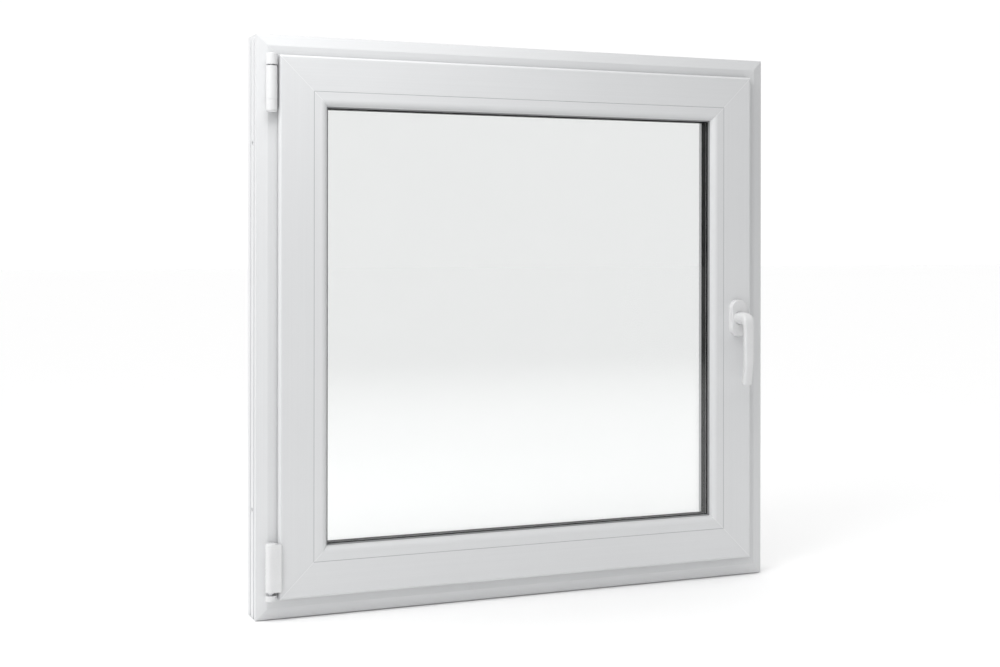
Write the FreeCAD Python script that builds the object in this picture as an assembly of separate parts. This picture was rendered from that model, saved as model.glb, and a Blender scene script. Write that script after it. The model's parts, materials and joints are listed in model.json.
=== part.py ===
import FreeCAD, Part
import math
import os
from FreeCAD import Vector

# Tilt-and-turn window, closed. X is to the right seen from inside the room, Y goes outdoors, Z is up.
# The origin is on the bottom face of the frame, half way along it and half way through its depth.
# A place on one of the four sides is given as u, y, t: u runs from the frame's outer edge towards
# the glass, y is Y, and t runs along the member (Z on an upright, X on a level one).

# Overall sizes
frame_width = 920.0
frame_height = 920.0
frame_depth = 60.0

# Outer frame section
face_slope_width = 18.0
face_slope_drop = 5.0
frame_body = 42.0
leg_height = 23.0
leg_chamfer = 6.0
groove_width = 8.0
groove_depth = 2.0
groove_offset = 12.0

# Sash section
overlap = 9.0
overlap_gap = 3.5
overlap_thickness = 11.5
rebate_air = 12.0
sash_body = 36.0
sash_depth = 60.0
upstand_height = 21.5
upstand_thickness = 20.0
upstand_chamfer = 7.5
edge_radius = 4.0

# Walls of the hollow profiles
wall = 3.0
web = 1.6
steel_wall = 1.75
steel_gap = 0.4
frame_steel_depth = 28.0
corner_stop = 4.0

# Hardware groove, faceplates and rods
groove_center = 13.0
plate_width = 15.6
plate_thickness = 2.4
plate_recess = 0.2
plate_groove = 16.0
plate_groove_depth = 3.0
rod_groove = 12.0
rod_groove_depth = 4.0
rod_width = 10.0
rod_thickness = 2.5
slide_gap = 0.3
cam_radius = 4.0
cam_reach = 8.3

# Glazing
pane_thickness = 4.0
cavity = 16.0
outer_seal = 3.0
inner_seal = 2.0
pane_edge_gap = 4.0
spacer_height = 7.0
spacer_above_sightline = 3.5
packer_length = 100.0
bead_flat = 8.0
bead_rim = 2.0
bead_clip = 1.4
seal_lip = 2.1

# Gaskets between sash and frame
sash_gasket_clear = 1.0
frame_gasket_clear = 0.6
leg_gap = 4.0

# Handle
handle_height = 460.0
backset = 8.5
gear_module = 1.0
pinion_teeth = 15
pressure_angle = math.radians(25.0)
gear_thickness = 6.0
tooth_thinning = 0.5
spindle_side = 7.0
rosette_width = 31.0
rosette_height = 65.0
rosette_thickness = 11.0
rosette_taper = 2.2
cover_wall = 1.8
base_thickness = 2.5
screw_spacing = 43.0
collar_radius = 7.0
neck_radius = 11.0
lever_reach = 41.0
lever_width = 16.0
lever_thickness = 10.0
lever_length = 113.0
lever_bend_radius = 12.0
lever_set_back = 7.0

# Hinges
hinge_axis_u = 21.0
hinge_axis_out = 11.0
hinge_radius = 8.8
pin_radius = 3.0
pin_clearance = 0.05
cup_bottom = 33.0
cup_top = 41.5
ball_radius = 4.5
ball_center = 39.0
ball_clearance = 0.1
collar_height = 2.2
band_bottom = 47.0
band_height = 76.0
band_tube_radius = 6.8
cover_reach = 15.5
bearing_plate = 2.0
bearing_top_gap = 51.3
bearing_height = 72.0
cap_height = 19.7
knuckle_gap = 2.2
knuckle_height = 17.6
knuckle_gap_top = 2.4
arm_thickness = 2.5
arm_width = 14.0
arm_length = 350.0
neck_thickness = 1.8
neck_height = 6.7
stud_radius = 2.5
stud_gap = 0.8
stud_play = 1.6

# Fixings
fixing_radius = 3.75
fixing_inset = 170.0
screw_radius = 2.0
screw_head_radius = 3.8
screw_head_height = 1.4
striker_base = 2.4
drive_leg = 160.0
pocket_half = 45.0
pocket_depth = 23.0
cam_over_sill = 266.8
cam_under_head = 257.6
head_cam_far = 441.6
head_cam_near = 239.2
sill_cam_far = 211.6
sill_cam_near = 276.0

# Worked-out places
inner_y = -frame_depth / 2
outer_y = frame_depth / 2
overlap_y = inner_y - overlap_gap
sash_y = overlap_y - overlap_thickness
sash_back_y = sash_y + sash_depth
leg_y = sash_back_y + leg_gap
sash_edge = frame_body - overlap
rebate = frame_body + rebate_air
bead_edge = rebate + sash_body
sightline = bead_edge + upstand_height
upstand_y = sash_back_y - upstand_thickness
pane_out_y = upstand_y - outer_seal
pane_in_y = pane_out_y - cavity - 2 * pane_thickness
bead_back_y = pane_in_y - inner_seal
hardware_y = overlap_y + groove_center
plate_u = rebate + plate_recess
rod_u = plate_u + plate_thickness + slide_gap
rod_back = rod_u + rod_thickness
groove_bottom = rebate + plate_groove_depth + rod_groove_depth
pocket_back = rebate + pocket_depth
cam_tip = rebate - cam_reach
pitch_radius = gear_module * pinion_teeth / 2
travel = math.pi * pitch_radius
handle_u = rebate + backset
rack_u = handle_u + pitch_radius
hinge_x = hinge_axis_u - frame_width / 2
hinge_y = inner_y - hinge_axis_out
stud_x = hinge_x + arm_length
handle_x = frame_width / 2 - handle_u
sides = ("hinge", "lock", "sill", "head")
uprights = ("hinge", "lock")
slide_sense = {"lock": 1, "head": -1, "sill": 1}
cams = {
    "lock": (cam_over_sill, frame_height - cam_under_head),
    "head": (frame_width / 2 - head_cam_far, frame_width / 2 - head_cam_near),
    "sill": (sill_cam_far - frame_width / 2, frame_width / 2 - sill_cam_near),
}


def ends(side):
    if side in uprights:
        return 0.0, frame_height
    return -frame_width / 2, frame_width / 2


def point(side, u, y, t):
    if side == "hinge":
        return Vector(u - frame_width / 2, y, t)
    if side == "lock":
        return Vector(frame_width / 2 - u, y, t)
    if side == "sill":
        return Vector(t, y, u)
    return Vector(t, y, frame_height - u)


def block(side, u0, u1, y0, y1, t0, t1):
    a = point(side, u0, y0, t0)
    b = point(side, u1, y1, t1)
    low = Vector(min(a.x, b.x), min(a.y, b.y), min(a.z, b.z))
    return Part.makeBox(abs(a.x - b.x), abs(a.y - b.y), abs(a.z - b.z), low)


# A round bar that runs along u.
def stub(side, u0, u1, y, t, radius):
    a = point(side, u0, y, t)
    b = point(side, u1, y, t)
    return Part.makeCylinder(radius, (b - a).Length, a, b - a)


def upright_bar(radius, x, y, z0, z1):
    return Part.makeCylinder(radius, z1 - z0, Vector(x, y, z0))


def depth_bar(radius, x, z, y0, y1):
    return Part.makeCylinder(radius, y1 - y0, Vector(x, y0, z), Vector(0, 1, 0))


def fused(shapes):
    whole = shapes[0]
    if len(shapes) > 1:
        whole = whole.fuse(shapes[1:]).removeSplitter()
    return whole


# Solids kept apart in one shape.
def together(shapes):
    return Part.makeCompound([solid for shape in shapes for solid in shape.Solids])


def save(node, *shapes):
    solids = [solid for shape in shapes for solid in shape.Solids]
    shape = solids[0] if len(solids) == 1 else Part.makeCompound(solids)
    shape.exportStep("parts/" + node + ".step")


# A closed outline in u, y. A step of four numbers is an arc: the point it passes, then its end.
def outline(side, steps, t):
    edges = []
    here = steps[0]
    for step in steps[1:] + steps[:1]:
        end = step[-2:]
        if len(step) == 4:
            through = point(side, step[0], step[1], t)
            edges.append(Part.Arc(point(side, *here, t), through, point(side, *end, t)).toShape())
        else:
            edges.append(Part.makeLine(point(side, *here, t), point(side, *end, t)))
        here = end
    return Part.Wire(edges)


def prism(side, steps, holes, t0, t1):
    wires = [outline(side, path, t0) for path in [steps] + list(holes)]
    face = Part.makeFace(wires, "Part::FaceMakerBullseye")
    return face.extrude(point(side, 0, 0, t1) - point(side, 0, 0, t0))


# A profile along one side of the frame, cut to mitres at both ends.
def mitred(side, steps, holes=()):
    low, high = ends(side)
    reach = max(step[-2] for step in steps) + 10
    depth = max(abs(step[-1]) for step in steps) + 10
    corners = [(0, low), (0, high), (reach, high - reach), (reach, low + reach), (0, low)]
    trapezium = Part.makePolygon([point(side, u, -depth, t) for u, t in corners])
    keep = Part.Face(trapezium).extrude(Vector(0, 2 * depth, 0))
    return prism(side, steps, holes, low, high).common(keep)


def ring(steps):
    return fused([mitred(side, steps) for side in sides])


def rectangle(u0, u1, y0, y1):
    return [(u0, y0), (u1, y0), (u1, y1), (u0, y1)]


def round_slot(side, u0, u1, y, t0, t1, radius):
    ends_round = [stub(side, u0, u1, y, t, radius) for t in (t0, t1)]
    return fused(ends_round + [block(side, u0, u1, y - radius, y + radius, t0, t1)])


# A countersunk screw along u, whose head's flat top is at u_head.
def rebate_screw(side, u_head, u_tip, y, t):
    inward = 1 if u_tip > u_head else -1
    head = stub(side, u_head, u_head + inward * screw_head_height, y, t, screw_head_radius)
    return fused([head, stub(side, u_head, u_tip, y, t, screw_radius)])


def frame_outline():
    grooves = []
    for center in (groove_offset, -groove_offset):
        high = center + groove_width / 2
        low = center - groove_width / 2
        grooves += [(0, high), (groove_depth, high), (groove_depth, low), (0, low)]
    leg_top = frame_body + leg_height
    return [
        (0, inner_y + face_slope_drop),
        (face_slope_width, inner_y),
        (frame_body, inner_y),
        (frame_body, leg_y),
        (leg_top, leg_y),
        (leg_top, outer_y - leg_chamfer),
        (leg_top - leg_chamfer, outer_y),
        (0, outer_y),
    ] + grooves


def frame_chambers():
    near = wall + groove_depth
    far = frame_body - wall
    half = frame_steel_depth / 2
    slope_y = inner_y + wall + face_slope_drop * (1 - near / face_slope_width)
    front = [
        (near, slope_y),
        (face_slope_width, inner_y + wall),
        (far, inner_y + wall),
        (far, -half - web),
        (near, -half - web),
    ]
    main = rectangle(near, far, -half, half)
    back = rectangle(near, far, half + web, outer_y - wall)
    leg_in = frame_body + leg_height - wall
    leg = [
        (frame_body, leg_y + wall),
        (leg_in, leg_y + wall),
        (leg_in, outer_y - leg_chamfer - wall / 3),
        (leg_in - leg_chamfer + wall * 2 / 3, outer_y - wall),
        (frame_body, outer_y - wall),
    ]
    return [front, main, back, leg]


def frame_steel(side):
    near = wall + groove_depth + steel_gap
    far = frame_body - wall - steel_gap
    half = frame_steel_depth / 2 - steel_gap
    low, high = ends(side)
    stop = frame_body + corner_stop
    hollow = rectangle(near + steel_wall, far - steel_wall, -half + steel_wall, half - steel_wall)
    return prism(side, rectangle(near, far, -half, half), [hollow], low + stop, high - stop)


def sash_outline():
    r = edge_radius
    mid = r * (1 - math.sqrt(0.5))
    low = hardware_y - plate_groove / 2
    high = hardware_y + plate_groove / 2
    rod_low = hardware_y - rod_groove / 2
    rod_high = hardware_y + rod_groove / 2
    step = rebate + plate_groove_depth
    clip_y = (sash_y + bead_back_y) / 2
    clip = bead_edge - bead_clip - 0.2
    return [
        (sash_edge, sash_y + r),
        (sash_edge + mid, sash_y + mid, sash_edge + r, sash_y),
        (bead_edge, sash_y),
        (bead_edge, clip_y - 1.2),
        (clip, clip_y - 1.2),
        (clip, clip_y + 1.2),
        (bead_edge, clip_y + 1.2),
        (bead_edge, upstand_y),
        (sightline, upstand_y),
        (sightline, sash_back_y - upstand_chamfer - 2.5),
        (sightline - upstand_chamfer, sash_back_y),
        (rebate, sash_back_y),
        (rebate, high),
        (step, high),
        (step, rod_high),
        (groove_bottom, rod_high),
        (groove_bottom, rod_low),
        (step, rod_low),
        (step, low),
        (rebate, low),
        (rebate, overlap_y),
        (sash_edge, overlap_y),
    ]


def sash_steel_section():
    near = groove_bottom + web
    far = bead_edge - wall
    return near, far, overlap_y + web / 2, upstand_y - wall


def sash_chambers():
    near, far, front, back = sash_steel_section()
    overlap_room = rectangle(sash_edge + wall, far, sash_y + wall, overlap_y - wall)
    main = rectangle(near, far, front, back)
    rear = rectangle(rebate + wall, far, back + web, sash_back_y - wall)
    up = sightline - wall
    upstand = [
        (far + web, upstand_y + wall),
        (up, upstand_y + wall),
        (up, sash_back_y - upstand_chamfer - wall),
        (up - upstand_chamfer + wall / 2, sash_back_y - wall),
        (far + web, sash_back_y - wall),
    ]
    return [overlap_room, main, rear, upstand]


def sash_steel(side):
    near, far, front, back = sash_steel_section()
    g = steel_gap
    s = steel_gap + steel_wall
    low, high = ends(side)
    stop = bead_edge + corner_stop
    hollow = rectangle(near + s, far - s, front + s, back - s)
    return prism(side, rectangle(near + g, far - g, front + g, back - g), [hollow], low + stop, high - stop)


# The bead is flat where it meets the sash, then rounds down to the glass.
def bead_outline():
    clip_y = (sash_y + bead_back_y) / 2
    top = bead_edge + bead_flat
    low_y = bead_back_y - bead_rim
    turn = math.sqrt(0.5)
    through = (top + (sightline - top) * turn, low_y - (low_y - sash_y) * turn)
    return [
        (bead_edge, sash_y),
        (top, sash_y),
        (*through, sightline, low_y),
        (sightline, bead_back_y),
        (bead_edge, bead_back_y),
        (bead_edge, clip_y + 1),
        (bead_edge - bead_clip, clip_y + 1),
        (bead_edge - bead_clip, clip_y - 1),
        (bead_edge, clip_y - 1),
    ]


def bead_seal_outline():
    lip = sightline + seal_lip
    return [
        (sightline - 4.5, bead_back_y),
        (sightline + 0.1, bead_back_y),
        (sightline + 0.1, bead_back_y - 1.2),
        (lip, bead_back_y + 0.5),
        (lip, pane_in_y),
        (sightline - 4.5, pane_in_y),
    ]


# What is cut out of the sash gasket where hinge plates and the stay arm pass through it.
def gasket_notches():
    y0 = overlap_y - 1
    y1 = inner_y
    low = block("hinge", sash_edge, rebate, y0, y1, cup_bottom - 3, band_bottom + band_height + 3)
    top = knuckle_bottom() + neck_height + 1
    high = block("hinge", sash_edge, rebate - 6, y0, y1, bearing_bottom() - 3, top)
    return [low, high]


def bearing_top():
    return frame_height - bearing_top_gap


def bearing_bottom():
    return bearing_top() - bearing_height


def knuckle_bottom():
    return bearing_top() + knuckle_gap


def plate_screws(u_head, u_tip, heights):
    y = inner_y + 18
    return [rebate_screw("hinge", u_head, u_tip, y, z) for z in heights]


# The plate behind a hinge bearing: flat on the frame's face, then back along the rebate.
def bearing_leaf(z0, z1, rebate_z0):
    back = frame_body + bearing_plate
    face = block("hinge", hinge_axis_u - 2, back, inner_y - bearing_plate, inner_y, z0, z1)
    flank = block("hinge", frame_body, back, inner_y - bearing_plate, inner_y + 34, rebate_z0, z1)
    return [face, flank]


def corner_bearing_screws():
    return plate_screws(frame_body + bearing_plate, frame_body - 18, (frame_body + 8, frame_body + 24))


def corner_bearing():
    cup = upright_bar(hinge_radius, hinge_x, hinge_y, cup_bottom, cup_top)
    arm = block("hinge", hinge_axis_u - 6, hinge_axis_u + 6, hinge_y, inner_y, cup_bottom, cup_top)
    leaf = bearing_leaf(cup_bottom, frame_body + 32, frame_body)
    body = fused([cup, arm] + leaf)
    socket = Part.makeSphere(ball_radius + ball_clearance, Vector(hinge_x, hinge_y, ball_center))
    return body.cut(socket).cut(together(corner_bearing_screws()))


def pivot_pin():
    ball = Part.makeSphere(ball_radius, Vector(hinge_x, hinge_y, ball_center))
    top = band_bottom + band_height - 8
    pin = upright_bar(pin_radius, hinge_x, hinge_y, ball_center, top)
    collar_z = band_bottom - slide_gap - collar_height
    collar = upright_bar(pin_radius + 2, hinge_x, hinge_y, collar_z, collar_z + collar_height)
    return fused([ball, pin, collar])


def band_screws():
    shapes = []
    for z in (band_bottom + 28, band_bottom + 46, band_bottom + 64):
        x = point("hinge", sash_edge + 8, 0, z).x
        head = depth_bar(screw_head_radius - 0.3, x, z, overlap_y, overlap_y + screw_head_height)
        shank = depth_bar(screw_radius - 0.2, x, z, sash_y + wall + 1, overlap_y + screw_head_height)
        shapes.append(fused([head, shank]))
    return shapes


# The sash's half of the lower hinge: a tube on the pin and a plate behind the overlap.
def corner_band():
    top = band_bottom + band_height - 2
    tube = upright_bar(band_tube_radius, hinge_x, hinge_y, band_bottom, top)
    plate_back = overlap_y + screw_head_height
    z0 = frame_body + 32 + 3
    web_block = block("hinge", hinge_axis_u, sash_edge - slide_gap, hinge_y, plate_back, z0, top)
    plate = block("hinge", hinge_axis_u, sash_edge + 15, overlap_y, plate_back, z0, top)
    body = fused([tube, web_block, plate])
    pin_top = band_bottom + band_height - 8
    bore = upright_bar(pin_radius + pin_clearance, hinge_x, hinge_y, band_bottom - 1, pin_top + 1)
    return body.cut(bore).cut(together(band_screws()))


# A soft-cornered cap over the lower hinge, with a flap that reaches over the sash's edge.
def lower_hinge_cover():
    z0 = band_bottom
    z1 = band_bottom + band_height
    tube = upright_bar(hinge_radius, hinge_x, hinge_y, z0, z1)
    tube = tube.makeFillet(2.5, [e for e in tube.Edges if abs(e.BoundBox.ZMin - z1) < 1e-6])
    front = hinge_y - hinge_radius
    flap = block("hinge", hinge_axis_u, hinge_axis_u + cover_reach, front, sash_y - slide_gap, z0, z1 - 1.5)
    corner = hinge_axis_u + cover_reach
    flap = flap.makeFillet(1.5, [e for e in flap.Edges if edge_at(e, point("hinge", corner, front, 0))])
    body = fused([tube, flap])
    body = body.cut(upright_bar(band_tube_radius + 0.1, hinge_x, hinge_y, z0 - 1, z1 - 2))
    tunnel = block("hinge", hinge_axis_u, sash_edge, hinge_y, inner_y, z0 + 29, z1 - 2)
    return body.cut(tunnel)


# True for an upright edge that stands over the point's X and Y.
def edge_at(edge, place):
    box = edge.BoundBox
    upright = box.ZLength > 1 and box.XLength < 1e-6 and box.YLength < 1e-6
    return upright and abs(box.XMin - place.x) < 1e-6 and abs(box.YMin - place.y) < 1e-6


def stay_bearing_screws():
    z = bearing_bottom() + cap_height
    return plate_screws(frame_body + bearing_plate, frame_body - 18, (z + 12, z + 36))


def stay_bearing():
    z0 = bearing_bottom() + cap_height
    z1 = bearing_top()
    tube = upright_bar(hinge_radius, hinge_x, hinge_y, z0, z1)
    arm = block("hinge", hinge_axis_u - 6, hinge_axis_u + 6, hinge_y, inner_y, z0 + 3, z1 - 1)
    body = fused([tube, arm] + bearing_leaf(z0 + 3, z1 - 1, z0 + 3))
    bore = upright_bar(pin_radius + pin_clearance, hinge_x, hinge_y, z0 - 1, z1 + 1)
    return body.cut(bore).cut(together(stay_bearing_screws()))


def stay_pin_cap():
    z0 = bearing_bottom()
    z1 = z0 + cap_height - 0.2
    cap = upright_bar(hinge_radius, hinge_x, hinge_y, z0, z1)
    cap = cap.makeFillet(4.0, [e for e in cap.Edges if abs(e.BoundBox.ZMax - z0) < 1e-6])
    return cap.cut(upright_bar(pin_radius + pin_clearance, hinge_x, hinge_y, z0 + 5, z1 + 1))


def stay_pin():
    top = knuckle_bottom() + knuckle_height - knuckle_gap_top - 0.5
    return upright_bar(pin_radius, hinge_x, hinge_y, bearing_bottom() + 5.3, top)


# The arm that carries the top of the sash: a knuckle on the stay pin, a thin neck that passes
# between sash and frame, and a flat bar over the sash's top edge with a stud in its slot.
def stay_arm():
    z0 = knuckle_bottom()
    z1 = z0 + knuckle_height
    knuckle = upright_bar(hinge_radius, hinge_x, hinge_y, z0, z1)
    knuckle = knuckle.makeFillet(1.2, [e for e in knuckle.Edges if abs(e.BoundBox.ZMin - z1) < 1e-6])
    mid_y = (inner_y + overlap_y) / 2 - 0.25
    y0 = mid_y - neck_thickness / 2
    y1 = mid_y + neck_thickness / 2
    lug = block("hinge", hinge_axis_u - 2, hinge_axis_u + 4, hinge_y, y1, z0, z0 + neck_height)
    neck = block("hinge", hinge_axis_u, frame_body + 5, y0, y1, z0, z0 + neck_height)
    near = hardware_y - arm_width / 2
    far = hardware_y + arm_width / 2
    tip = Vector(stud_x + arm_width / 2, hardware_y, z0)
    start = hinge_x + frame_body - hinge_axis_u
    path = [(start - 2, y1), (start - 2, y0), (start + 8, y0), (start + 24, near), (stud_x, near)]
    back = [(stud_x, far), (start + 42, far), (start + 6, y1), (start - 2, y1)]
    edges = [Part.makeLine(Vector(*a, z0), Vector(*b, z0)) for a, b in zip(path, path[1:])]
    edges.append(Part.Arc(Vector(stud_x, near, z0), tip, Vector(stud_x, far, z0)).toShape())
    edges += [Part.makeLine(Vector(*a, z0), Vector(*b, z0)) for a, b in zip(back, back[1:])]
    bar = Part.Face(Part.Wire(edges)).extrude(Vector(0, 0, arm_thickness))
    stud = upright_bar(stud_radius, stud_x, hardware_y, frame_height - groove_bottom + stud_gap, z0 + 0.5)
    body = fused([knuckle, lug, neck, bar, stud])
    bore_top = z1 - knuckle_gap_top
    return body.cut(upright_bar(pin_radius + pin_clearance, hinge_x, hinge_y, z0 - 1, bore_top))


def handle_screws():
    shapes = []
    for sign in (1, -1):
        z = handle_height + sign * screw_spacing / 2
        top = sash_y - base_thickness
        head = depth_bar(4.2, handle_x, z, top - 1.8, top)
        shank = depth_bar(2.4, handle_x, z, top, hardware_y - case_half())
        shapes.append(fused([head, shank]))
    return shapes


def case_half():
    return plate_width / 2 - 2


def stadium(width, height, y0, y1):
    r = width / 2
    rise = height / 2 - r
    caps = [depth_bar(r, handle_x, handle_height + s * rise, y0, y1) for s in (1, -1)]
    low = Vector(handle_x - r, y0, handle_height - rise)
    return fused(caps + [Part.makeBox(width, y1 - y0, 2 * rise, low)])


def rosette_base():
    width = rosette_width - 2 * cover_wall - 0.6
    height = rosette_height - 2 * cover_wall - 0.6
    plate = stadium(width, height, sash_y - base_thickness, sash_y)
    bore = depth_bar(collar_radius + 0.08, handle_x, handle_height, sash_y - 20, sash_y + 1)
    return plate.cut(bore).cut(together(handle_screws()))


def rosette_cover():
    y0 = sash_y - rosette_thickness
    shell = stadium(rosette_width, rosette_height, y0, sash_y)
    shell = shell.makeFillet(rosette_taper, [e for e in shell.Edges if e.BoundBox.YMax < y0 + 1e-6])
    width = rosette_width - 2 * cover_wall
    height = rosette_height - 2 * cover_wall
    inside = stadium(width, height, y0 + cover_wall, sash_y + 1)
    hole = depth_bar(neck_radius + slide_gap, handle_x, handle_height, y0 - 1, sash_y)
    return shell.cut(inside).cut(hole)


# The lever leaves the rosette as a round neck, bends down and sets back a little at its end.
def handle_lever():
    rosette_y = sash_y - rosette_thickness
    mid_y = sash_y - lever_reach
    collar = depth_bar(collar_radius, handle_x, handle_height, rosette_y + 1, sash_y - 0.3)
    neck = depth_bar(neck_radius, handle_x, handle_height, mid_y - 1, rosette_y + 1)
    r = lever_bend_radius
    top_y = mid_y + r
    low_z = handle_height - r
    straight_end = handle_height - 0.55 * lever_length
    tip_z = handle_height - lever_length
    start = Vector(handle_x, top_y + 6, handle_height)
    bend_from = Vector(handle_x, top_y, handle_height)
    bend_mid = Vector(handle_x, top_y - r * math.sin(math.pi / 4), low_z + r * math.sin(math.pi / 4))
    bend_to = Vector(handle_x, mid_y, low_z)
    grip_end = Vector(handle_x, mid_y, straight_end)
    sag = (lever_set_back**2 + (straight_end - tip_z) ** 2) / (2 * lever_set_back)
    half = math.asin((straight_end - tip_z) / sag) / 2
    tip_mid = Vector(handle_x, mid_y + sag * (1 - math.cos(half)), straight_end - sag * math.sin(half))
    tip = Vector(handle_x, mid_y + lever_set_back, tip_z)
    path = Part.Wire([
        Part.makeLine(start, bend_from),
        Part.Arc(bend_from, bend_mid, bend_to).toShape(),
        Part.makeLine(bend_to, grip_end),
        Part.Arc(grip_end, tip_mid, tip).toShape(),
    ])
    section = lever_section(start)
    bar = path.makePipeShell([section], True, True)
    body = fused([collar, neck, bar])
    h = spindle_side / 2 + 0.05
    low = Vector(handle_x - h, mid_y + 8, handle_height - h)
    return body.cut(Part.makeBox(2 * h, lever_reach, 2 * h, low))


# A rectangle with round corners, standing across Y.
def lever_section(center):
    half_x = lever_width / 2
    half_z = lever_thickness / 2
    r = 3.0
    corners = [(1, 1), (-1, 1), (-1, -1), (1, -1)]
    edges = []
    for n, (sx, sz) in enumerate(corners):
        cx = center.x + sx * (half_x - r)
        cz = center.z + sz * (half_z - r)
        outer = (Vector(cx + sx * r, center.y, cz), Vector(cx, center.y, cz + sz * r))
        first, last = outer if n % 2 == 0 else outer[::-1]
        k = r * math.sqrt(0.5)
        through = Vector(cx + sx * k, center.y, cz + sz * k)
        edges.append(Part.Arc(first, through, last).toShape())
    joined = []
    for n, edge in enumerate(edges):
        joined.append(edge)
        following = edges[(n + 1) % 4]
        leave = edge.valueAt(edge.LastParameter)
        joined.append(Part.makeLine(leave, following.valueAt(following.FirstParameter)))
    return Part.Wire(joined)


def spindle():
    h = spindle_side / 2
    y0 = sash_y - lever_reach + 8.5
    y1 = hardware_y + plate_width / 2 - 0.5
    low = Vector(handle_x - h, y0, handle_height - h)
    return Part.makeBox(2 * h, y1 - y0, 2 * h, low)


def involute(radius, base):
    angle = math.sqrt((radius / base) ** 2 - 1)
    return angle - math.atan(angle)


# A gear whose teeth are thinned for backlash; a gap points to the glass.
def pinion():
    base = pitch_radius * math.cos(pressure_angle)
    tip = pitch_radius + 0.8 * gear_module
    root = pitch_radius - 1.1 * gear_module
    tooth = (math.pi * gear_module - tooth_thinning) / (2 * pitch_radius)
    y0 = hardware_y - gear_thickness / 2
    half_pitch = tooth / 2 + involute(pitch_radius, base)
    steps = 5
    points = []
    for n in range(pinion_teeth):
        middle_angle = math.pi + math.pi / pinion_teeth + 2 * math.pi * n / pinion_teeth
        radii = [base + (tip - base) * i / steps for i in range(steps + 1)]
        rise = [(root, half_pitch)] + [(r, half_pitch - involute(max(r, base), base)) for r in radii]
        for r, spread in rise:
            points.append((r, middle_angle - spread))
        for r, spread in reversed(rise):
            points.append((r, middle_angle + spread))
    vectors = [Vector(handle_x + r * math.cos(a), y0, handle_height + r * math.sin(a)) for r, a in points]
    disc = Part.Face(Part.makePolygon(vectors + vectors[:1])).extrude(Vector(0, gear_thickness, 0))
    half = plate_width / 2 - 0.2
    hub = depth_bar(hub_radius(), handle_x, handle_height, hardware_y - half, hardware_y + half)
    h = spindle_side / 2 + 0.05
    low = Vector(handle_x - h, hardware_y - 20, handle_height - h)
    return fused([disc, hub]).cut(Part.makeBox(2 * h, 40, 2 * h, low))


def hub_radius():
    return handle_u - (plate_u + plate_thickness) - 0.2


# The rack's teeth, on the glass side of the pinion. A rack tooth lies level with the pinion's
# centre, where the pinion has a gap.
def rack():
    pitch = math.pi * gear_module
    lift = math.tan(pressure_angle)
    top = 0.7 * gear_module
    foot = 1.1 * gear_module
    half = (pitch - tooth_thinning) / 4
    y0 = hardware_y - gear_thickness / 2
    y1 = hardware_y + gear_thickness / 2
    count = int(travel / pitch + 4)
    teeth = []
    for n in range(count):
        t = handle_height + (2 - n) * pitch
        wide = half + foot * lift
        slim = half - top * lift
        steps = [(rack_u + foot + 0.2, t - wide), (rack_u + foot, t - wide), (rack_u - top, t - slim)]
        steps += [(rack_u - top, t + slim), (rack_u + foot, t + wide), (rack_u + foot + 0.2, t + wide)]
        corners = [point("lock", u, y0, z) for u, z in steps]
        teeth.append(Part.Face(Part.makePolygon(corners + corners[:1])).extrude(Vector(0, y1 - y0, 0)))
    return teeth


def rod_span(side):
    low, high = ends(side)
    stop = groove_bottom + 25
    if side == "lock":
        return low + stop + 2, high - stop - travel - 1.5
    if side == "head":
        return stud_x + travel + 30, high - stop - 1
    return low + rebate + 76, high - stop - travel - 1.5


def rod_strip(side, t0, t1):
    half = rod_width / 2
    return block(side, rod_u, rod_back, hardware_y - half, hardware_y + half, t0, t1)


def plate_screw_places(side):
    low, high = ends(side)
    middle_t = (low + high) / 2
    if side == "lock":
        return [low + 110, low + 200, handle_height - 90, handle_height + 90, high - 190, high - 110]
    if side == "head":
        return [low + 100, stud_x - 70, middle_t + 130, high - 110]
    return [low + 140, middle_t - 60, middle_t + 60, high - 110]


def plate_screws_on(side):
    return [rebate_screw(side, plate_u, rebate + 15, hardware_y, t) for t in plate_screw_places(side)]


# Slots that let a rod slide past the fixed screws.
def screw_slots(side):
    move = slide_sense[side] * travel
    half = screw_radius + 0.7
    y0 = hardware_y - half
    y1 = hardware_y + half
    slots = []
    for t in plate_screw_places(side):
        t0, t1 = sorted((t, t - move))
        slots.append(block(side, rod_u - 1, rod_back + 1, y0, y1, t0 - half, t1 + half))
    return together(slots)


def rod_cams(side):
    return [stub(side, cam_tip, rod_u + 1, hardware_y, t, cam_radius) for t in cams[side]]


def connecting_rod(side):
    t0, t1 = rod_span(side)
    strip = rod_strip(side, t0, t1).cut(screw_slots(side))
    return fused([strip] + rod_cams(side))


# The lock rod is broken at the pinion and carried past it by a bar with the rack on it.
def lock_rod():
    t0, t1 = rod_span("lock")
    clear = pitch_radius + gear_module + 0.4
    bridge = 5.0
    upper = handle_height + clear
    lower = handle_height - clear - travel
    strips = together([rod_strip("lock", t0, lower), rod_strip("lock", upper, t1)])
    strips = strips.cut(screw_slots("lock"))
    y0 = hardware_y - gear_thickness / 2
    y1 = hardware_y + gear_thickness / 2
    bar_u = rack_u + 1.1 * gear_module
    bar_back = bar_u + 2.4
    pieces = [block("lock", bar_u, bar_back, y0, y1, lower - bridge, upper + bridge)]
    pieces.append(block("lock", rod_u, bar_back, y0, y1, lower - bridge, lower))
    pieces.append(block("lock", rod_u, bar_back, y0, y1, upper, upper + bridge))
    teeth = together(rack()).common(block("lock", rod_u, bar_back, y0, y1, lower, upper))
    return fused(strips.Solids + pieces + teeth.Solids + rod_cams("lock"))


def cam_slots(side):
    move = slide_sense[side] * travel
    slots = []
    for t in cams[side]:
        t0, t1 = sorted((t, t + move))
        slots.append(round_slot(side, plate_u - 1, rod_u, hardware_y, t0, t1, cam_radius + slide_gap))
    return slots


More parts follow.
